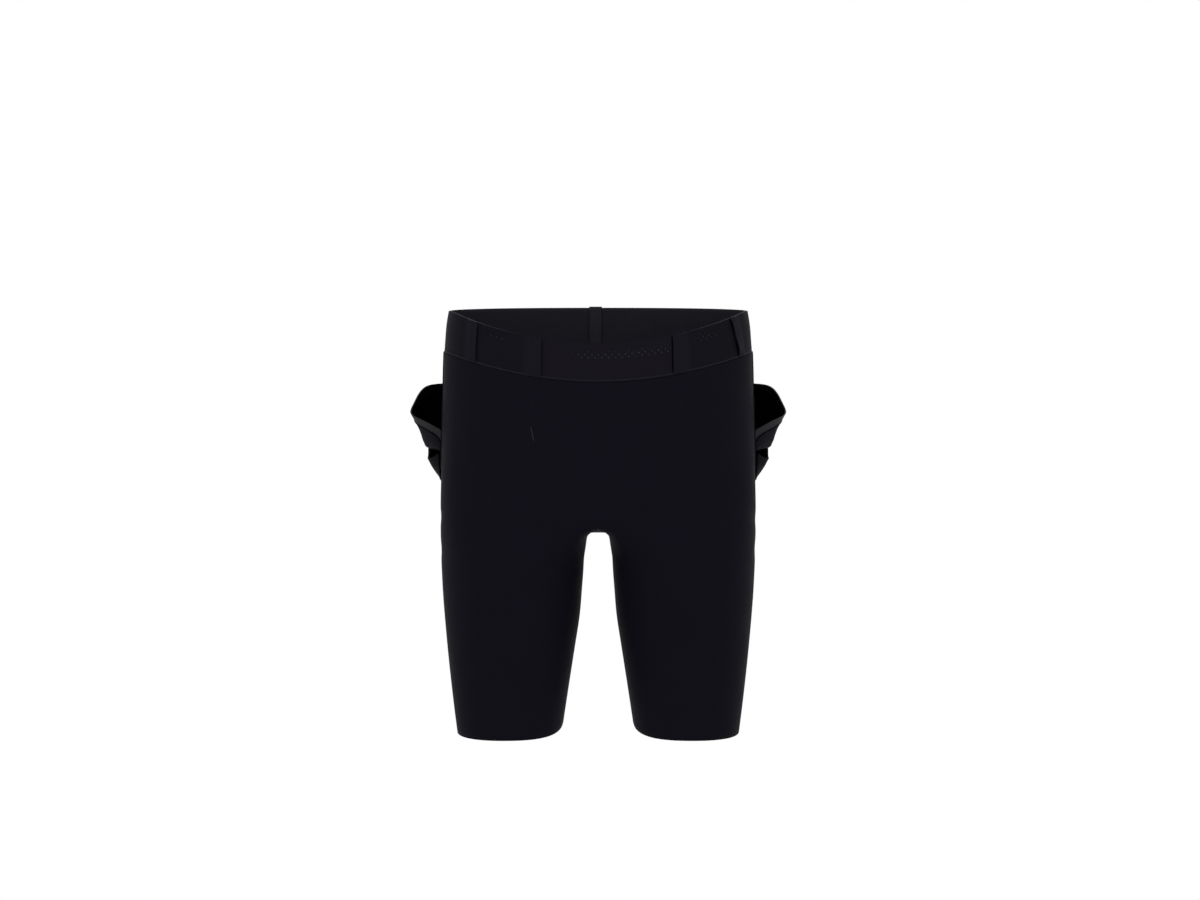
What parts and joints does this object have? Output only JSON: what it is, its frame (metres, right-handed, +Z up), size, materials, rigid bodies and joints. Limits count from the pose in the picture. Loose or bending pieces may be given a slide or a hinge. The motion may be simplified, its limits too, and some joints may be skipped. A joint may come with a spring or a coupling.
{
  "type": "running half tights",
  "caption": "Close-fitting knee-length running half tights with a dipped waistband, gaping two-tier hip pockets and a crotch gusset, filled out as worn.",
  "frame": {"origin": "on the upright axis of the body, half way up the waistband at its sides, where the wearer's waist holds the garment", "axes": "+Z up out of the waist opening, -Y to the front, +X to the wearer's left"},
  "size_m": [0.4186, 0.2334, 0.4766],
  "materials": {
    "jersey": "black smooth stretch knit, faint sheen",
    "waistband": "black bonded stretch knit",
    "waistband_mesh": "black perforated stretch knit",
    "pocket": "black fine stretch mesh knit",
    "binding": "black folded elastic, light sheen",
    "tape": "black woven tape"
  },
  "bodies": {
    "root": {"front_panel": "jersey", "back_panel_left": "jersey", "back_panel_right": "jersey", "gusset": "jersey", "waistband_base": "waistband", "waistband_centre": "waistband_mesh", "waistband_front_left": "waistband", "waistband_front_right": "waistband", "waistband_side_left": "waistband", "waistband_side_right": "waistband", "centre_back_tape": "tape", "pocket_yoke_left": "pocket", "pocket_yoke_right": "pocket", "upper_pocket_left": "pocket", "upper_pocket_right": "pocket", "upper_pocket_binding_left": "binding", "upper_pocket_binding_right": "binding", "lower_pocket_left": "pocket", "lower_pocket_right": "pocket", "lower_pocket_binding_left": "binding", "lower_pocket_binding_right": "binding"}
  },
  "joints": []
}
